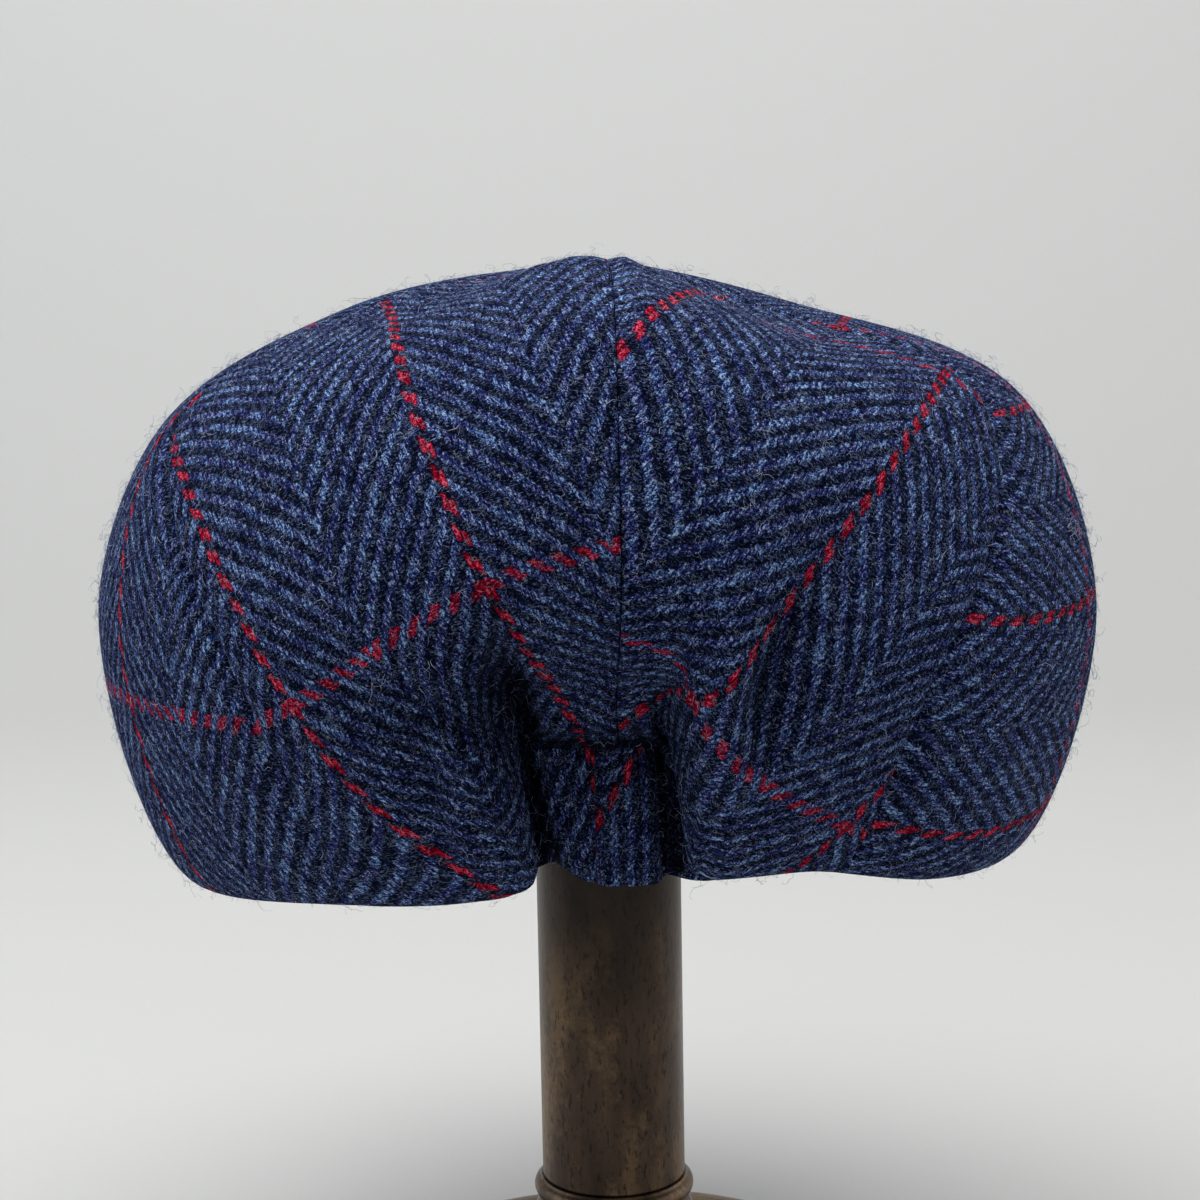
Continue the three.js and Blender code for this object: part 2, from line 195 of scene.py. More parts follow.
def make_mesh(name, points, faces, material, weave=None, painted_shade=None):
    """A smooth mesh object from points in mm. For cloth, weave gives each point a pair of
    thread places, and the last argument its painted shade, for lying deep in a fold or under the overhang,
    from 0 to 1."""
    mesh = bpy.data.meshes.new(name)
    mesh.from_pydata((np.asarray(points) * MM).tolist(), [], faces)
    mesh.shade_smooth()
    if weave is not None:
        corner = np.empty(len(mesh.loops), np.int32)
        mesh.loops.foreach_get("vertex_index", corner)
        mesh.uv_layers.new(name="weave").data.foreach_set("uv", weave[corner].astype(np.float32).ravel())
        mesh.attributes.new("painted_shade", "FLOAT", "POINT").data.foreach_set("value", painted_shade.astype(np.float32))
    mesh.materials.append(material)
    obj = bpy.data.objects.new(name, mesh)
    bpy.context.scene.collection.objects.link(obj)
    return obj


def join_part(obj, slot, *nodes):
    """Lets a piece ride on the part and stand for its solid nodes; the finish named by slot is not used."""
    if nodes:
        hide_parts(*nodes)
    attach(obj, "root")
    return obj


def quads(a, b, c, d):
    return np.stack([a.ravel(), b.ravel(), c.ravel(), d.ravel()], 1).tolist()


def bead(out, height, radius, start, end, steps=9):
    """Points of a round stretch of a turned outline, angles in degrees from outward."""
    at = np.radians(np.linspace(start, end, steps))
    return [(out + radius * math.cos(t), height + radius * math.sin(t)) for t in at]


def turned(node, outline, sides=128):
    """A turned piece from its outline of (radius, height) pairs that starts and ends on the axis."""
    rings = np.array(outline[1:-1], float)
    a = np.linspace(0, 2 * math.pi, sides, endpoint=False)
    points = np.stack([rings[:, :1] * np.cos(a), rings[:, :1] * np.sin(a), rings[:, 1:] + 0 * a], -1)
    points = points.reshape(-1, 3)
    foot, top = len(points), len(points) + 1
    points = np.concatenate([points, [(0, 0, outline[0][1]), (0, 0, outline[-1][1])]])
    around = np.arange(foot).reshape(len(rings), sides)
    around = np.concatenate([around, around[:, :1]], 1)
    faces = quads(around[:-1, :-1], around[:-1, 1:], around[1:, 1:], around[1:, :-1])
    around = around.tolist()
    for k in range(sides):
        faces.append((foot, around[0][k + 1], around[0][k]))
        faces.append((top, around[-1][k], around[-1][k + 1]))
    obj = make_mesh(node + "_wood", points, faces, bronze)
    obj.data.set_sharp_from_angle(angle=math.radians(35))
    return join_part(obj, "bronzed_wood", node)


bronze = bronzed_wood()
turned("stand_base", [(0, 0), (BASE_R - 3, 0), *bead(BASE_R - 5, 5, 5, -70, 60),
                      *bead(BASE_R - 16, 0, 16, 62, 90), (38, BASE_H), (30, 18.5), (25.5, 22.5), (22.8, 27),
                      (21.4, 32), (20.8, COLLAR_FOOT - FIT), (0, COLLAR_FOOT - FIT)])
turned("stand_collar", [(0, COLLAR_FOOT), (20.4, COLLAR_FOOT), *bead(COLLAR_R - 4.4, 43, 4.4, -62, 62, 12),
                        (20.3, 47.7), (20.0, 48.1), (20.3, 48.5), *bead(COLLAR_R - 2.6, 50.9, 2.6, -55, 62),
                        (20.6, 53.5), (20.4, COLLAR_TOP), (0, COLLAR_TOP)])
turned("stand_post", [(0, COLLAR_TOP + FIT), (POST_R - 0.4, COLLAR_TOP + FIT),
                      (POST_R, COLLAR_TOP + FIT + 0.5), *[(POST_R, z) for z in np.linspace(60, 244, 12)],
                      (POST_R, DOME_FOOT - FIT), (0, DOME_FOOT - FIT)])
turned("stand_dome", [(0, DOME_FOOT), (22, DOME_FOOT), (34, 251.5), (42, 258), (45, 266), (44, 273),
                      (39, 279.5), (30, 286.5), (20, 293.5), (10, 300.5), (0, DOME_TOP)])


# ---------------------------------------------------------------- head band
# A straight strip of the same tweed, folded double and closed by a seam at the
# centre back. Elastic inside it draws the back into upright gathers, and the
# two deepest are the slots on either side of the flat middle.
BAND_A, BAND_B, BAND_Y = 80.0, 95.0, 6.0        # half width, half length, middle
BAND_TOP, BAND_FOOT, BAND_WALL = 195.0, 161.0, 2.6
FOOT_RISE = 4.4                  # how far its foot is drawn up left of the back
RIB_DEPTH, RIB_PITCH, RIB_REACH = 1.0, 4.6, 30.0
BAND_PUFF, BAND_PULL = 1.4, 1.2  # how far it swells between its edges, and is drawn in at the back
BAND_FOLD_COLUMNS = ("name", "foot_azimuth", "top_azimuth", "width", "depth")
BAND_FOLDS = [
    ("seam", -2.3, -2.3, 0.9, 1.2),
    ("left slot", -11.5, -17.0, 3.2, 10),
    ("right slot", 11.8, 10.4, 2.6, 8),
]
BAND_RED_Z = 178.4               # where its red lines meet at the seam
BAND_LEAN = (-8.0, 33.0)         # lean of the warp left and right of the seam, degrees
END, PICK = 1.25, 1.85           # from one warp thread, and one weft thread, to the next
HERRING = 22                     # warp threads in one herringbone stripe
RED_WARP, RED_WEFT = 44, 70      # threads from one red line to the next, warp and weft
WEAVE_UNIT = 100.0               # mm of cloth to one unit of the map named weave


def tweed_cloth():
    """Woollen herringbone: blue warp ribs over near-black weft, crossed by red window lines.

    Every cloth piece carries a map named weave, with its place across and along
    the warp, so the threads follow the cut.
    """
    look = Look("tweed")
    cloth = look.node("UVMap", uv_map="weave")
    place = look.node("VectorMath", {0: cloth, "Scale": WEAVE_UNIT}, operation="SCALE")
    x, y = (look.node("SeparateXYZ", {0: place}, out=k) for k in (0, 1))

    def three_noises(scale):
        """Three separate noises from one node, each about -0.5 to 0.5."""
        inputs = {"Vector": place, "Scale": scale, "Detail": 2.0, "Roughness": 0.6}
        colour = look.node("TexNoise", inputs, out=1)
        return [look.node("SeparateColor", {0: colour}, out=k) - 0.5 for k in (0, 1, 2)]

    wander_x, wander_y, cloud = three_noises(0.17)
    rag_x, rag_y, grain = three_noises(2.6)
    across = (x + wander_x * 2.2 + rag_x * 0.8) / END
    along = (y + wander_y * 2.2 + rag_y) / PICK
    warp, in_warp = across.floor(), across.fract()

    def fibres(turn, width, length, seed, detail=1.0):
        """Short wool fibres at an angle to the warp, about -0.5 to 0.5."""
        c, s = math.cos(math.radians(turn)), math.sin(math.radians(turn))
        u, v = x * c + y * s + rag_x * 0.5, y * c - x * s
        return look.noise(look.vector(u / width, v / length, seed), 1.0, detail, 0.6) - 0.5

    straight, cross = fibres(4, 0.30, 1.3, 3.0, 2.0), fibres(88, 0.32, 1.2, 17.0)
    slant = fibres(38, 0.34, 1.1, 7.0).most(fibres(-40, 0.34, 1.1, 12.0)) - 0.07

    # Two-over-two twill whose ribs turn back at each stripe: place 0 to 2 of a
    # rib shows the warp, 2 to 4 the weft
    stripe = (across / HERRING).floor() % 2.0
    climb = (warp % HERRING + in_warp * 0.55) * (1.0 - stripe * 2.0) + stripe * (HERRING + 1.0)
    rib = (climb + along) % 4.0
    rise = (1.0 - abs(rib - 1.0)).most(abs(rib - 3.0) - 1.0)
    between = abs(in_warp * 2.0 - 1.0) ** 3.0
    warp_up = (rise * 2.2 + slant * 2.4 + straight * 1.6 + 0.36).clip()
    body = (abs(rise) * 1.8).clip() * (1.0 - between * warp_up * 0.85)

    strand = straight * warp_up + cross * (1.0 - warp_up)
    # The edges of each warp thread are a little darker: painted shade in the grooves between threads.
    wool = strand * 2.8 + slant * 2.6 - between * 0.30
    tone = look.node("TexWhiteNoise", {"Vector": look.vector(warp, (along / 2.0).floor(), stripe)}) - 0.5
    shade = (wool + tone * 0.45 + grain * 1.3 + cloud * 0.7 + 0.47).clip()
    blue = look.ramp(shade, (0.0, (0.003, 0.007, 0.034)), (0.25, (0.013, 0.026, 0.112)),
                     (0.50, (0.042, 0.072, 0.245)), (0.72, (0.125, 0.180, 0.430)), (1.0, (0.50, 0.55, 0.80)))
    dye = look.ramp(cloud * 1.3 + tone * 0.5 + 0.5, (0.25, (1.12, 0.88, 1.05)), (0.50, (1.0, 1.0, 1.0)),
                    (0.75, (0.78, 1.04, 1.06)))
    blue = look.node("Mix", {0: 1.0, 6: blue, 7: dye}, out=2, data_type="RGBA", blend_type="MULTIPLY")
    black = look.ramp(shade, (0.0, (0.0008, 0.0020, 0.008)), (0.45, (0.0034, 0.0066, 0.0240)),
                      (0.72, (0.013, 0.024, 0.075)), (1.0, (0.10, 0.14, 0.28)))
    red = look.ramp(shade, (0.0, (0.09, 0.001, 0.008)), (0.4, (0.38, 0.003, 0.022)),
                    (0.75, (0.68, 0.014, 0.065)), (1.0, (0.85, 0.15, 0.24)))
    red_end = (warp % RED_WARP < 1.5) * (rise * 3.0 + grain * 2.0 + 0.9).clip()
    red_pick = (along.floor() % RED_WEFT < 1.5) * (rise * -2.6 + slant * 2.0 + 0.4).clip() * 0.8
    colour = look.blend(warp_up, black, blue)
    colour = look.blend((red_end + red_pick).clip(), colour, red)
    # Painted shade: the crevices between threads and between warp and weft floats go nearly black, with some
    # random darkening from the grain.
    sink = (body * 1.5 + grain * 1.4 + 0.20).clip()
    colour = look.blend(sink, (0.0012, 0.002, 0.007, 1), colour)

    # A thin felted nap that covers the ribs in patches, and single pale hairs
    nap = ((look.noise(place, 0.4, 3.0, 0.7) - 0.48) * 3.0).clip() * 0.45 + 0.02
    felt = look.ramp((wool * 0.8 + grain * 1.2 + 0.5).clip(), (0.1, (0.003, 0.006, 0.020)),
                     (0.5, (0.022, 0.038, 0.125)), (0.9, (0.20, 0.24, 0.42)))
    colour = look.blend(nap * (1.0 - red_end * 0.8), colour, felt)
    hairs = 0.0
    for seed, size, thin in ((2.0, 0.55, 0.012), (31.0, 0.9, 0.018)):
        lines = look.noise(look.vector(x, y, seed), size, 1.0)
        broken = (look.noise(look.vector(x, y, seed + 11.0), 0.5, 0.0) - 0.55) * 9.0
        hairs = (1.0 - abs(lines - 0.5) / thin).clip() * broken.clip() + hairs
    colour = look.blend((hairs * 0.7).clip(), colour, (0.36, 0.43, 0.56, 1))

    # Painted shade: cloth that lies deep in a fold, or low under the overhang, is darkened nearly to black
    painted_shade = look.node("Attribute", out=2, attribute_name="painted_shade")
    colour = look.blend(painted_shade * 0.88, colour, (0.001, 0.0014, 0.004, 1))
    look.set(Base_Color=colour, Roughness=1.0, Normal=look.bump(body + grain * 1.4, 0.8, 0.0007))
    look.set(Specular_IOR_Level=0.03)
    return look.material


def wall_faces(rows, cols, closed=False):
    """Faces of a closed wall: an outer grid, then an inner grid, and every open edge between."""
    outer = np.arange(rows * cols).reshape(rows, cols)
    if closed:
        outer = np.concatenate([outer, outer[:, :1]], 1)
    inner = outer + rows * cols
    faces = quads(outer[:-1, :-1], outer[:-1, 1:], outer[1:, 1:], outer[1:, :-1])
    faces += quads(inner[:-1, :-1], inner[1:, :-1], inner[1:, 1:], inner[:-1, 1:])
    faces += quads(outer[0, :-1], inner[0, :-1], inner[0, 1:], outer[0, 1:])
    faces += quads(outer[-1, :-1], outer[-1, 1:], inner[-1, 1:], inner[-1, :-1])
    if not closed:
        faces += quads(outer[:-1, 0], outer[1:, 0], inner[1:, 0], inner[:-1, 0])
        faces += quads(outer[:-1, -1], inner[:-1, -1], inner[1:, -1], outer[1:, -1])
    return faces


def make_cloth(node, outer, inner, weave, painted_shade, closed=False):
    """A closed wall of tweed between two grids of points, with its thread places in mm."""
    points = np.concatenate([outer.reshape(-1, 3), inner.reshape(-1, 3)])
    threads = np.concatenate([weave.reshape(-1, 2)] * 2) / WEAVE_UNIT
    painted_shade = np.concatenate([painted_shade.ravel()] * 2)
    obj = make_mesh(node + "_cloth", points, wall_faces(*outer.shape[:2], closed), tweed, threads, painted_shade)
    return join_part(obj, "tweed", node)


def band_gather(azimuth, level):
    """How deep the seam and the two deep gathers press into the band."""
    deep = 0.0
    for name, foot_azimuth, top_azimuth, width, depth in BAND_FOLDS:
        middle = foot_azimuth + (top_azimuth - foot_azimuth) * level
        deep = deep + depth * np.exp(-((azimuth - middle) / width) ** 2)
    return deep


def band_points(azimuth, level, offset):
    """Points of the band; azimuth runs about its own middle, level from foot to top."""
    back = np.exp(-2 * (azimuth / RIB_REACH) ** 2)
    rib = RIB_DEPTH * np.cos(np.radians(360 * (azimuth + 0.4) / RIB_PITCH)) * back
    puff = BAND_PUFF * np.sin(math.pi * level) * (0.4 + 0.6 * back)
    grow = offset - BAND_PULL * back + rib * (0.45 + 0.55 * level) + puff - band_gather(azimuth, level)
    foot = BAND_FOOT + FOOT_RISE * back * (1 - np.tanh((azimuth + 5) / 3)) / 2
    a = np.radians(azimuth)
    return np.stack([(BAND_A + grow) * np.sin(a), BAND_Y - (BAND_B + grow) * np.cos(a),
                     foot + (BAND_TOP - foot) * level], -1)


def band_threads(points, azimuth):
    """Thread places on the band: the warp leans one way on each side of its seam."""
    seam_at = BAND_FOLDS[0][1]
    across = np.radians(azimuth - seam_at) * (BAND_A + BAND_B) / 2
    height = points[..., 2] - BAND_RED_Z
    lean = np.radians(np.where(azimuth < seam_at, *BAND_LEAN))
    return np.stack([across * np.cos(lean) - height * np.sin(lean),
                     height * np.cos(lean) + across * np.sin(lean) + 60], -1)


tweed = tweed_cloth()
spread = np.linspace(-1, 1, 441)[:-1]
level, azimuth = np.meshgrid(0.5 - 0.5 * np.cos(np.linspace(0, math.pi, 24)),
                             180 * (0.2 * spread + 0.8 * spread ** 3), indexing="ij")
rolled_edge = 0.9 * np.abs(level * 2 - 1) ** 14
band_outer = band_points(azimuth, level, -rolled_edge)
# Painted shade: the band is darkened along its seam and in its two deep gathers.
band_painted_shade = np.clip(band_gather(azimuth, level) / 5 - 0.1, 0, 1)
band = make_cloth("head_band", band_outer, band_points(azimuth, level, -BAND_WALL),
                  band_threads(band_outer, azimuth), band_painted_shade, closed=True)


# ---------------------------------------------------------------- crown panels
# Eight shield-shaped pieces of the tweed, sewn edge to edge from a point at the
# top, with the seams turned in. The crown is cut wider than the band, so it
# droops all round, and at the back it is gathered deeply into the elastic.
CROWN_X, CROWN_Y, APEX_Z = 1.5, 15.0, 308.5     # centre line of the crown, and its point
CLOTH = 2.0
SEAM_GAP = 0.2                   # each panel stops this far short of its seam outside
SEAM_LAP = 0.06                  # and laps this far past it inside, where it is sewn
SEAM_DIP, SEAM_REACH = 2.0, 2.8  # depth and half width of the groove along a seam
LEAN, LEAN_AT, LEAN_REACH = 6.4, -16.0, 13.0   # swing of the lobe left of the back, degrees
LEAN_TOP, LEAN_DROP = 206.0, 38.0               # height where it starts, and how far below it is full
STATIONS = 5                     # band, droop, wide, shoulder, crest and apex: 0 to 5

# Each section row places the droop (lowest point of the overhang), the widest
# point, the shoulder and the crest, as a distance out from the crown's centre
# line and a height. Azimuth 0 is the centre back and 90 the right hand side.
SECTION_COLUMNS = ("azimuth", "droop_out", "droop_z", "wide_out", "wide_z",
                   "shoulder_out", "shoulder_z", "crest_out", "crest_z")
SECTIONS = np.array([
    (-180, 114, 167, 122, 190, 106, 232, 62, 278),
    (-140, 118, 163, 136, 192, 118, 238, 66, 283),
    (-105, 116, 151, 138, 208, 121, 252, 70, 291),
    (-82, 114, 148, 138, 225, 120, 265, 70, 296.5),
    (-60, 118, 150, 142, 224, 125, 269.5, 71, 298),
    (-38, 117, 156, 145, 216, 126, 274.5, 67, 299.5),
    (-22, 113, 161, 146, 220, 126, 277, 66, 304.5),
    (-18.5, 112, 163, 145.5, 221.5, 126, 278, 65, 306),
    (-16.2, 110.5, 166, 145, 223, 126, 278.5, 64.5, 306.5),
    (-14.6, 107.8, 191, 144.5, 225, 126, 279, 64, 307),
    (-12.6, 107, 200, 143.5, 228, 126, 280, 63.5, 307.5),
    (-9.6, 107, 200, 142, 232, 126, 282, 63, 308.5),
    (0, 107.5, 202, 140, 237, 125, 284, 62, 309),
    (5.8, 107, 200, 141, 234, 125, 283.5, 62.5, 308.5),
    (7.7, 107.5, 190, 142, 231, 125, 282.5, 63, 307.5),
    (9.2, 109, 167.5, 143.5, 229, 125, 281.5, 63.5, 306.5),
    (12, 111, 166, 145, 228, 125, 280.5, 64.5, 305),
    (20, 112, 166, 145, 226, 124, 277, 66, 301),
    (40, 118, 158.5, 143, 214, 121, 273.5, 62, 293.5),
    (62, 113, 154, 137, 219, 116.5, 273, 54, 295),
    (84, 107, 153, 130, 220, 109.5, 272.5, 50, 296.5),
    (108, 114, 154, 134, 208, 116, 252, 58, 291.5),
    (142, 118, 164, 134, 192, 117, 238, 67, 282),
], float)

# Seam azimuths at the six stations of the profile, round from the front left
SEAM_COLUMNS = ("name", "band", "droop", "wide", "shoulder", "crest", "apex")
SEAMS = [
    ("front_left", -132, -132, -132, -140, -141, -135),
    ("side_left", -84, -84, -86, -98, -100, -92),
    ("back_left", -32, -32.5, -37.5, -60, -62, -48),
    ("back_centre", 0.4, 0.4, 0.9, 1, 1.2, 0),
    ("back_right", 26.5, 26.5, 32, 52, 56, 46),
    ("side_right", 80, 80, 83, 95, 98, 91),
    ("front_right", 131, 131, 131, 138, 139, 135),
    ("front_centre", 180, 180, 180, 180, 180, 180),
]

# Folds and swells on the crown. Rows with the same name join into one line.
# Depth goes inward, a negative depth stands proud.
SHADE_FROM_DEPTH, SHADE_FULL_DEPTH = 3.0, 14.0            # fold depths where shade starts, and where no light gets in
FOLD_COLUMNS = ("name", "azimuth", "z", "width", "depth")
FOLDS = [
    ("left slot", -15.0, 172, 2.4, 2.5),
    ("left slot", -14.8, 186, 3.0, 4.0),
    ("left slot", -12.8, 202, 4.4, 10.0),
    ("left slot", -11.6, 214, 5.5, 12.5),
    ("left slot", -11.6, 226, 6.5, 8.0),
    ("left slot", -12.4, 240, 8.0, 0.5),
    ("left hollow", -14.0, 212, 6.5, 3.5),
    ("left hollow", -17.0, 210, 9.0, 8.0),
    ("left hollow", -21.5, 211, 9.5, 5.5),
    ("left hollow", -28.0, 217, 10, 0.5),
    ("left pocket", -20.0, 202, 5.0, 3.0),
    ("left pocket", -19.8, 194, 4.2, 6.0),
    ("left pocket", -21.4, 182, 3.8, 2.6),
    ("left pocket", -23.0, 168, 3.2, 1.8),
    ("left lobe", -17.6, 196, 4.5, -1.5),
    ("left lobe", -18.6, 178, 5.0, -2.2),
    ("right slot", 8.7, 168, 2.4, 3.0),
    ("right slot", 8.2, 186, 2.8, 4.5),
    ("right slot", 7.0, 202, 3.4, 8.0),
    ("right slot", 6.4, 209, 3.8, 5.0),
    ("right slot", 6.2, 217, 4.5, 0.5),
    ("right ridge", 11.0, 176, 3.2, -2.0),
    ("right ridge", 10.8, 200, 3.2, -3.4),
    ("right ridge", 10.2, 214, 4.5, -2.8),
    ("right ridge", 11.0, 232, 7.0, -1.0),
    ("right hollow", 14.6, 200, 4.5, 3.5),
    ("right hollow", 14.0, 211, 6.0, 8.5),
    ("right hollow", 15.5, 225, 8.0, 8.0),
    ("right hollow", 20.0, 243, 10, 4.2),
    ("right hollow", 27.5, 259, 12, 0.5),
    ("left crease", -34.0, 172, 7.0, 1.4),
    ("left crease", -33.0, 196, 8.0, 1.8),
    ("left crease", -26.0, 214, 9.0, 1.0),
    ("right crease", 25.0, 168, 6.0, 1.2),
    ("right crease", 28.0, 200, 8.0, 1.4),
    ("front left dent", -150.0, 186, 12, 2.0),
    ("front left dent", -146.0, 214, 14, 1.0),
    ("front right dent", 152.0, 184, 12, 2.0),
    ("front right dent", 147.0, 212, 14, 1.0),
]

# Each panel starts at a seam and runs to the next. Its warp is turned from the
# middle of the panel by an angle, and then placed across and along. Where it was
# eased in sewing the threads bow: mm for each 100 mm squared up the panel, across
# it, and for both together, first of the warp and then of the weft.
PANEL_COLUMNS = ("name", "seam", "held", "turn", "across", "along", "warp_bow", "weft_bow")
STRAIGHT = (0.0, 0.0, 0.0)
PANELS = [
    ("crown_back_left", 2, "gathered", 10.0, -22.6, -7.9, (14.0, 18.0, -11.0), (-12.8, 10.0, -21.0)),
    ("crown_back_right", 3, "gathered", -26.0, 7.1, 30.2, (-3.0, 1.5, -25.0), (-11.5, 16.0, 16.0)),
    ("crown_side_back_left", 1, "draped", -10.0, -6.6, 19.5, (2.6, -0.2, 2.3), (5.0, 12.1, -8.9)),
    ("crown_side_back_right", 4, "draped", -80.0, 9.0, -5.9, STRAIGHT, STRAIGHT),
    ("crown_side_front_left", 0, "draped", 8.0, 10.0, 20.0, STRAIGHT, STRAIGHT),
    ("crown_side_front_right", 5, "draped", -8.0, 14.0, 32.0, STRAIGHT, STRAIGHT),
    ("crown_front_left", -1, "draped", -14.0, 18.0, 26.0, STRAIGHT, STRAIGHT),
    ("crown_front_right", 6, "draped", 14.0, -18.0, 26.0, STRAIGHT, STRAIGHT),
]


def held_slope(left, right, h_left, h_right):
    """Slope at a knot from its two chords, held back so that nothing overshoots."""
    slope = (left * h_right + right * h_left) / (h_left + h_right)
    limit = 2.2 * np.minimum(np.abs(left), np.abs(right))
    return np.where(left * right <= 0, 0.0, np.sign(slope) * np.minimum(np.abs(slope), limit))


def cubic(a, b, slope_a, slope_b, h, t):
    """Curve from a to b over a span h, with a slope at each end, at t from 0 to 1."""
    s = 1 - t
    return ((1 + 2 * t) * s * s * a + t * s * s * h * slope_a
            + t * t * (3 - 2 * t) * b + t * t * (t - 1) * h * slope_b)


def sections_at(azimuth):
    """The section row at each azimuth of a flat array, read smoothly round the ring."""
    knots = SECTIONS[:, 0]
    n = len(knots)
    x = (azimuth + 180) % 360 - 180
    i = np.searchsorted(knots, x, side="right") - 1
    at = [knots[(i + k) % n] + 360 * ((i + k) // n) for k in (-1, 0, 1, 2)]
    v = [SECTIONS[(i + k) % n, 1:] for k in (-1, 0, 1, 2)]
    h = [(at[k + 1] - at[k])[:, None] for k in range(3)]
    chord = [(v[k + 1] - v[k]) / h[k] for k in range(3)]
    return cubic(v[1], v[2], held_slope(chord[0], chord[1], h[0], h[1]),
                 held_slope(chord[1], chord[2], h[1], h[2]), h[1], (x - at[1])[:, None] / h[1])


def band_out(azimuth):
    """Distance from the crown's centre line to the band's outer face."""
    dx, dy = np.sin(np.radians(azimuth)), -np.cos(np.radians(azimuth))
    oy = CROWN_Y - BAND_Y
    a = (dx / BAND_A) ** 2 + (dy / BAND_B) ** 2
    b = 2 * (CROWN_X * dx / BAND_A ** 2 + oy * dy / BAND_B ** 2)
    c = (CROWN_X / BAND_A) ** 2 + (oy / BAND_B) ** 2 - 1
    return (-b + np.sqrt(b * b - 4 * a * c)) / (2 * a)


def profile(azimuth, station):
    """Distance out and height of the smooth crown, for flat arrays."""
    n = len(azimuth)
    p = np.zeros((n, STATIONS + 1, 2))
    p[:, 0, 0] = band_out(azimuth) + FIT + 0.1
    p[:, 0, 1] = BAND_TOP + FIT + 0.1
    p[:, 1:5] = sections_at(azimuth).reshape(n, 4, 2)
    p[:, 5, 1] = APEX_Z
    step = np.diff(p, axis=1)
    length = np.linalg.norm(step, axis=2)[:, :, None]
    way = step / length
    tangent = np.empty_like(p)
    tangent[:, 0] = way[:, 0]
    tangent[:, 1:-1] = ((way[:, :-1] * length[:, 1:] + way[:, 1:] * length[:, :-1])
                        / (length[:, :-1] + length[:, 1:]))
    tangent[:, 5] = (-1.0, 0.12)
    i = np.clip(station.astype(int), 0, STATIONS - 1)
    row = np.arange(n)
    t = (station - i)[:, None]
    return cubic(p[row, i], p[row, i + 1], tangent[row, i], tangent[row, i + 1], length[row, i], t)


def seam_azimuth(index, station):
    """Azimuth of a seam at each station; the index may run past the ends of the ring."""
    row = np.array(SEAMS[index % 8][1:], float)
    i = np.clip(np.asarray(station).astype(int), 0, STATIONS - 1)
    v = [row[np.clip(i + k, 0, STATIONS)] for k in (-1, 0, 1, 2)]
    return 360 * (index // 8) + cubic(v[1], v[2], (v[2] - v[0]) / 2, (v[3] - v[1]) / 2, 1, station - i)


def fold_depth(azimuth, out, z):
    """How far the fold lines press in at each place on the crown."""
    total, best = np.zeros_like(z), np.zeros_like(z)
    scale = out * math.radians(1)
    for row, following in zip(FOLDS, FOLDS[1:] + [("",)]):
        if row[0] != following[0]:
            total, best = total + best, np.zeros_like(z)
            continue
        ux, uz = (following[1] - row[1]) * scale, following[2] - row[2]
        wx, wz = (azimuth - row[1]) * scale, z - row[2]
        t = np.clip((wx * ux + wz * uz) / (ux * ux + uz * uz), 0, 1)
        width = row[3] + (following[3] - row[3]) * t
        away = np.hypot(wx - ux * t, wz - uz * t) / width
        depth = (row[4] + (following[4] - row[4]) * t) * np.exp(-away * away)
        best = np.where(np.abs(depth) > np.abs(best), depth, best)
    return total


def skin(azimuth, station, folded=True):
    """Points of the crown with its puckered seams and its folds, for flat arrays."""
    out, z = profile(azimuth, station).T
    if not folded:
        a = np.radians(azimuth)
        return np.stack([CROWN_X + out * np.sin(a), CROWN_Y - out * np.cos(a), z], -1)
    near = np.min([np.abs(azimuth - seam_azimuth(k, station)) for k in range(-1, 9)], axis=0)
    away = np.radians(near) * out / SEAM_REACH
    shown = np.clip(station - 0.9, 0, 1) * np.clip((STATIONS - station) * 1.6, 0, 1)
    pucker = 1 + 0.22 * np.sin(station * 31 + azimuth * 0.2) + 0.15 * np.sin(station * 67 + 1.3)
    press = SEAM_DIP * np.exp(-away ** 1.5) * shown * pucker
    press += fold_depth(azimuth, out, z) * np.clip(station * 1.4 - 0.5, 0, 1)
    lower = np.clip((station - 3) / 1.6, 0, 1)
    r = out - press * (1 - lower)
    low = np.clip((LEAN_TOP - z) / LEAN_DROP, 0, 1)
    a = np.radians(azimuth + LEAN * low * np.exp(-((azimuth - LEAN_AT) / LEAN_REACH) ** 2))
    return np.stack([CROWN_X + r * np.sin(a), CROWN_Y - r * np.cos(a), z - press * lower], -1)


def skin_normal(azimuth, station):
    """Outward normals of the crown, from points a short step either side."""
    da, ds = 0.35, 0.03
    s = np.clip(station, ds, STATIONS - 0.15)
    east = skin(azimuth + da, s) - skin(azimuth - da, s)
    up = skin(azimuth, s + ds) - skin(azimuth, s - ds)
    n = np.cross(east, up)
    return n / np.linalg.norm(n, axis=-1, keepdims=True)


def panel_grid(seam, rows, cols, gap=SEAM_GAP):
    """Azimuths and stations over one panel, rows from band to apex and cols from seam to seam."""
    start, end = seam_azimuth(seam, rows), seam_azimuth(seam + 1, rows)
    out = np.maximum(profile((start + end) / 2 % 360, rows)[:, 0], 0.8)
    inset = gap / out / math.radians(1)
    azimuth = (start + inset)[:, None] + cols[None] * (end - start - 2 * inset)[:, None]
    return azimuth, np.repeat(rows[:, None], len(cols), 1)


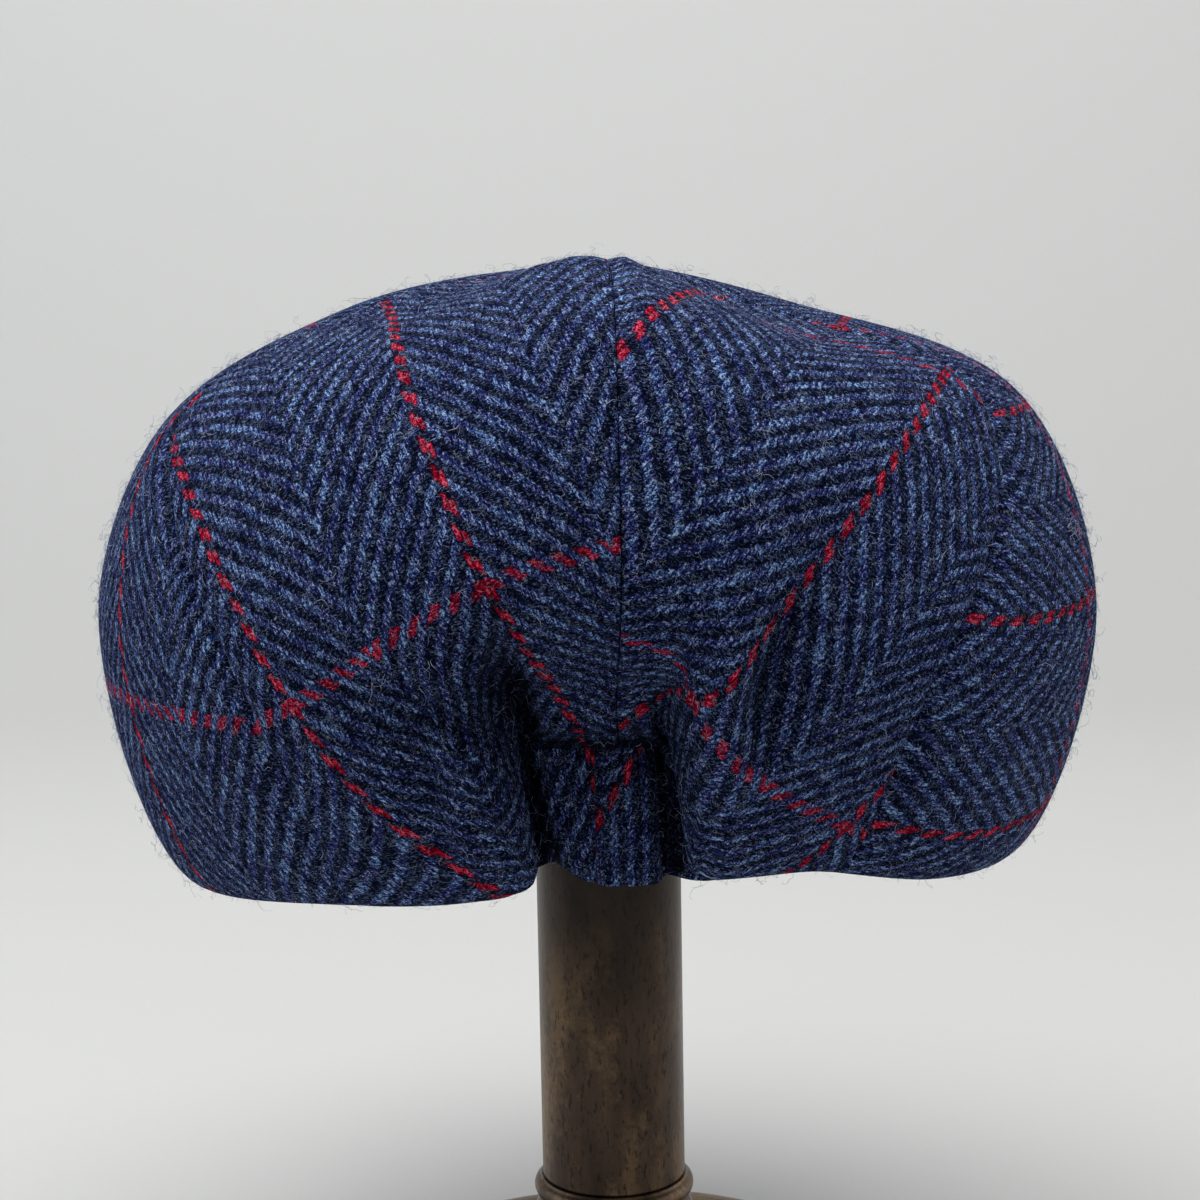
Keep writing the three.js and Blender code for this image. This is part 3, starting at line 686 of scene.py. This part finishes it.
def lay_flat(points, rounds=500):
    """Unrolls a grid of points so that its edges keep their length: (rows, cols, 2)."""
    rows, cols = points.shape[:2]
    middle = cols // 2
    up = np.linalg.norm(np.diff(points[:, middle], axis=0), axis=1)
    along = np.concatenate([[0], np.cumsum(up)])
    side = np.linalg.norm(np.diff(points, axis=1), axis=2)
    across = np.concatenate([np.zeros((rows, 1)), np.cumsum(side, axis=1)], 1)
    flat = np.stack([across - across[:, middle:middle + 1], np.repeat(along[:, None], cols, 1)], -1)
    every, first, last = slice(None), slice(None, -1), slice(1, None)
    pairs = [((first, every), (last, every)), ((every, first), (every, last)),
             ((first, first), (last, last)), ((first, last), (last, first))]
    for _ in range(rounds):
        push, count = np.zeros_like(flat), np.zeros((rows, cols, 1))
        for a, b in pairs:
            want = np.linalg.norm(points[b] - points[a], axis=-1, keepdims=True)
            gap = flat[b] - flat[a]
            have = np.linalg.norm(gap, axis=-1, keepdims=True) + 1e-9
            move = gap * (1 - want / have) * 0.5
            push[a] += move
            push[b] -= move
            count[a] += 1
            count[b] += 1
        flat += push / count * 1.3
    return flat


def flat_size(flat):
    """Width, length and area that a panel was cut to, in metres and square metres."""
    width, length = np.ptp(flat.reshape(-1, 2), axis=0) * MM
    edge = np.concatenate([flat[0], flat[:, -1], flat[-1, ::-1], flat[::-1, 0]]) * MM
    after = np.roll(edge, -1, axis=0)
    area = abs((edge[:, 0] * after[:, 1] - edge[:, 1] * after[:, 0]).sum()) / 2
    return (float(width), float(length)), float(area)


def panel_threads(flat, turn, across, along, warp_bow, weft_bow):
    """Thread places over a flat panel, measured from its middle."""
    u, v = np.moveaxis(flat - flat[len(flat) * 2 // 5, flat.shape[1] // 2], -1, 0)
    c, s = math.cos(math.radians(turn)), math.sin(math.radians(turn))
    square = np.stack([v * v, u * u, u * v]) / 100 ** 2
    return np.stack([u * c + v * s + across + np.tensordot(warp_bow, square, 1),
                     v * c - u * s + along + np.tensordot(weft_bow, square, 1)], -1)


def spread_grid(coarse, rows_at, cols_at, rows, cols):
    """Reads a coarse grid of pairs at finer row and column places."""
    wide = np.stack([[np.interp(cols, cols_at, line[:, c]) for line in coarse] for c in (0, 1)], -1)
    return np.stack([[np.interp(rows, rows_at, wide[:, j, c]) for j in range(len(cols))] for c in (0, 1)],
                    -1).transpose(1, 0, 2)


def sew_panel(name, seam, held, *threads):
    """One panel as a fine closed wall, with its threads laid the way it was cut."""
    rows_at, cols_at = np.linspace(0, 4.9, 36), np.linspace(0, 1, 21)
    azimuth, station = panel_grid(seam, rows_at, cols_at)
    coarse = azimuth.shape + (3,)
    smooth = lay_flat(skin(azimuth.ravel(), station.ravel(), folded=False).reshape(coarse))
    size, area = flat_size(lay_flat(skin(azimuth.ravel(), station.ravel()).reshape(coarse)))
    fine = 1.0 if held == "gathered" else 0.62
    rows = np.concatenate([np.linspace(0, 1, 14)[:-1], np.linspace(1, 3, int(92 * fine))[:-1],
                           np.linspace(3, 4.99, int(46 * fine))])
    turn_in = np.linspace(0, 0.035, 7)
    cols = np.unique(np.concatenate([np.linspace(0, 1, int(104 * fine)), turn_in, 1 - turn_in]))
    azimuth, station = panel_grid(seam, rows, cols)
    outer = skin(azimuth.ravel(), station.ravel())
    sewn, _ = panel_grid(seam, rows, cols, -SEAM_LAP)
    inner = skin(sewn.ravel(), station.ravel()) - CLOTH * skin_normal(sewn.ravel(), station.ravel())
    weave = spread_grid(panel_threads(smooth, *threads), rows_at, cols_at, rows, cols)
    grid = azimuth.shape + (3,)
    # Painted shade: darkest where a fold presses in deep, and on the lowest cloth under the overhang just
    # above the band.
    out, z = profile(azimuth.ravel(), station.ravel()).T
    deep = (fold_depth(azimuth.ravel(), out, z) - SHADE_FROM_DEPTH) / (SHADE_FULL_DEPTH - SHADE_FROM_DEPTH)
    under = (1.1 - station.ravel()) * np.clip((200 - z) / 8, 0, 1) * 4
    painted_shade = np.clip(np.maximum(deep, under), 0, 1)
    obj = make_cloth(name, outer.reshape(grid), inner.reshape(grid), weave, painted_shade)
    return obj


panels = [sew_panel(*row) for row in PANELS]


# ---------------------------------------------------------------- peak
# A crescent of stiff board covered in the tweed, sewn under the front of the
# crown along the foot of the band. It arches from side to side and slopes down
# to its free edge.
PEAK_WALL, PEAK_REACH, PEAK_SPREAD = 3.6, 58.0, 26.0
PEAK_ARCH, PEAK_HALF = 13.0, 64.0               # drop of its sides, half its spread in degrees
PEAK_TOP = BAND_FOOT + 4.6
PEAK_SEAT = FIT + 0.25           # from the band's outside to the peak's back edge


def peak_points(angle, way, under):
    """Points of the peak: angle from the front, way out from the band, under its top face."""
    bend = angle / PEAK_HALF * math.pi / 2
    opened = np.cos(bend)
    reach = PEAK_REACH * opened ** 0.6 * way
    a = np.radians(angle)
    x = (BAND_A + PEAK_SEAT) * np.sin(a) + PEAK_SPREAD * np.sin(bend) * opened ** 0.5 * way
    y = BAND_Y + (BAND_B + PEAK_SEAT) * np.cos(a) + reach
    fall = 0.17 * reach + PEAK_ARCH * (x / BAND_A) ** 2 * way * np.clip(opened * 3, 0, 1)
    return np.stack([x, y, PEAK_TOP - fall - under * PEAK_WALL * (1 - 0.35 * way ** 6)], -1)


way, angle = np.meshgrid(np.linspace(0, 1, 40) ** 0.8, np.linspace(-PEAK_HALF, PEAK_HALF, 90) * 0.985,
                         indexing="ij")
rolled_edge = 0.28 * np.clip((way - 0.94) / 0.06, 0, 1) ** 2
peak_top = peak_points(angle, way, rolled_edge)
peak = make_cloth("peak", peak_top, peak_points(angle, way, 1 - rolled_edge), peak_top[..., :2] + 11, 0 * way)


# ---------------------------------------------------------------- loose wool
# Ends of woollen fibre that stand off the cloth all over: a short dense fuzz,
# and here and there a long curly hair. They belong to the yarn and are pale
# where the light comes through them.
WOOL_COLUMNS = ("name", "share", "length", "height", "curl", "thick", "steps")
WOOL = [
    ("fuzz", 0.84, 2.4, 1.5, 0.25, 0.036, 3),
    ("hair", 0.16, 7.5, 3.2, 0.80, 0.045, 9),
]
FIBRES_IN_M2 = 110000


def loose_wool():
    """Fibres from dark blue to nearly white."""
    look = Look("loose_wool")
    shade = look.noise(look.node("TexCoord", out=3), 300.0, 1.0)
    colour = look.ramp(shade, (0.30, (0.03, 0.055, 0.17)), (0.48, (0.14, 0.20, 0.42)),
                       (0.66, (0.62, 0.68, 0.84)))
    look.set(Base_Color=colour, Roughness=0.7, Specular_IOR_Level=0.3)
    return look.material


def spots_on(obj, count, rng):
    """Even random spots in mm on the outer face of a cloth wall, with their normals."""
    mesh = obj.data
    points = np.empty(len(mesh.vertices) * 3)
    mesh.vertices.foreach_get("co", points)
    corners = np.empty(len(mesh.loops), np.int32)
    mesh.loops.foreach_get("vertex_index", corners)
    corners = corners.reshape(-1, 4)
    corners = corners[(corners < len(mesh.vertices) // 2).all(axis=1)]
    a, b, c, d = points.reshape(-1, 3)[corners.T] / MM
    normal = np.cross(c - a, d - b)
    size = np.linalg.norm(normal, axis=1)
    pick = rng.choice(len(size), count, p=size / size.sum())
    s, t = rng.random((2, count, 1))
    a, b, c, d = a[pick], b[pick], c[pick], d[pick]
    spot = (a * (1 - s) + b * s) * (1 - t) + (d * (1 - s) + c * s) * t
    return spot, normal[pick] / size[pick, None]


def grow_wool(obj, count, seed):
    """One mesh of fine curved fibres rooted in a cloth piece."""
    rng = np.random.default_rng(seed)
    points, faces = [], []
    for name, share, longest, highest, curl, thick, steps in WOOL:
        n = int(count * share)
        root, up = spots_on(obj, n, rng)
        side = np.cross(up, rng.normal(size=(n, 3)))
        side /= np.linalg.norm(side, axis=1, keepdims=True)
        twist = np.cross(up, side)
        length = longest * (0.3 + 0.7 * rng.random((n, 1)))
        height = highest * rng.random((n, 1)) ** 1.6
        wave = curl * (0.3 + rng.random((n, 1)))
        phase, turns = 6.28 * rng.random((n, 1)), 1 + 1.6 * rng.random((n, 1))
        path = []
        for t in np.linspace(0, 1, steps + 1):
            turn = phase + 6.28 * turns * t
            path.append(root + side * (length * t + wave * np.sin(turn)) + twist * wave * np.cos(turn) * 1.3
                        + up * (height * math.sin(2.3 * t) + wave * t * np.sin(turn) - 0.15))
        path = np.stack(path, 1)
        radius = thick * np.linspace(1.2, 0.5, steps + 1)[None, :, None]
        tube = [path + radius * (math.cos(a) * up[:, None] + math.sin(a) * twist[:, None])
                for a in np.radians((90, 210, 330))]
        start = sum(len(p) for p in points)
        points.append(np.stack(tube, 2).reshape(-1, 3))
        base = start + np.arange(n)[:, None] * (steps + 1) * 3 + np.arange(steps)[None] * 3
        for k in range(3):
            faces += quads(base + k, base + (k + 1) % 3, base + 3 + (k + 1) % 3, base + 3 + k)
    wool = make_mesh(obj.name.replace("_cloth", "_wool"), np.concatenate(points), faces, fibre)
    return join_part(wool, "tweed")


fibre = loose_wool()
for seed, cloth in enumerate([*panels, band, peak]):
    area = sum(face.area for face in cloth.data.polygons) / 2
    grow_wool(cloth, int(FIBRES_IN_M2 * area), seed)


# ---------------------------------------------------------------- table, light and camera
# The stand is on a pale table that runs up into a pale wall. The light is that
# of a bright room: broad and soft from above, weaker from a window each side.
TABLE_LINE = [(-3500.0, 0.0), (900.0, 0.0)]     # depth and height
WALL_DEPTH, WALL_TOP, HALF_WIDE = 1500.0, 3500.0, 6000.0


def pale_paint():
    """Matt, a little greyer on the table than on the wall."""
    look = Look("pale_paint")
    height = look.node("SeparateXYZ", {0: look.node("TexCoord", out=3)}, out=2)
    colour = look.ramp(height / 0.6, (0.0, (0.61, 0.61, 0.595)), (1.0, (0.785, 0.785, 0.77)))
    look.set(Base_Color=colour, Roughness=0.8)
    return look.material


def soft_light(name, place, size, power, colour=(1, 1, 1)):
    """A square lamp aimed at the cap."""
    lamp = bpy.data.lights.new(name, "AREA")
    lamp.size, lamp.energy, lamp.color = size, power, colour
    obj = bpy.data.objects.new(name, lamp)
    obj.location = place
    obj.rotation_euler = (Vector((0, 0, 0.2)) - Vector(place)).to_track_quat("-Z", "Y").to_euler()
    bpy.context.scene.collection.objects.link(obj)
    return obj


bend = WALL_DEPTH - TABLE_LINE[-1][0]
line = TABLE_LINE + [(WALL_DEPTH - bend + bend * math.sin(t), bend - bend * math.cos(t))
                     for t in np.linspace(0.1, math.pi / 2, 16)] + [(WALL_DEPTH, WALL_TOP)]
strip = [(x, y, z) for y, z in line for x in (-HALF_WIDE, HALF_WIDE)]
faces = [(2 * k, 2 * k + 1, 2 * k + 3, 2 * k + 2) for k in range(len(line) - 1)]
stage = make_mesh("pale_table_and_wall", strip, faces, pale_paint())
soft_light("overhead", (-0.1, -0.05, 1.5), 1.5, 23.0)
soft_light("left window", (-1.5, 0.2, 0.7), 1.3, 10.0, (0.95, 0.98, 1.0))
soft_light("right window", (1.5, 0.4, 0.6), 1.3, 7.5)

world = bpy.data.worlds.new("soft room")
bpy.context.scene.world = world
world.use_nodes = True
sky = world.node_tree.nodes["Background"].inputs
sky["Color"].default_value = (0.93, 0.96, 1.0, 1)
sky["Strength"].default_value = 0.24

CAMERA_PLACE = (-0.00105, -0.6315, 0.3147)
LOOK_DOWN, ROLL = 8.8, -1.03                    # degrees
camera_data = bpy.data.cameras.new("camera")
camera_data.sensor_width, camera_data.lens = 36.0, 70.5
camera = bpy.data.objects.new("camera", camera_data)
camera.matrix_world = (Matrix.Translation(CAMERA_PLACE)
                       @ Matrix.Rotation(math.radians(90 - LOOK_DOWN), 4, "X")
                       @ Matrix.Rotation(math.radians(ROLL), 4, "Z"))
bpy.context.scene.collection.objects.link(camera)
bpy.context.scene.camera = camera
bpy.context.scene.view_settings.view_transform = "Standard"
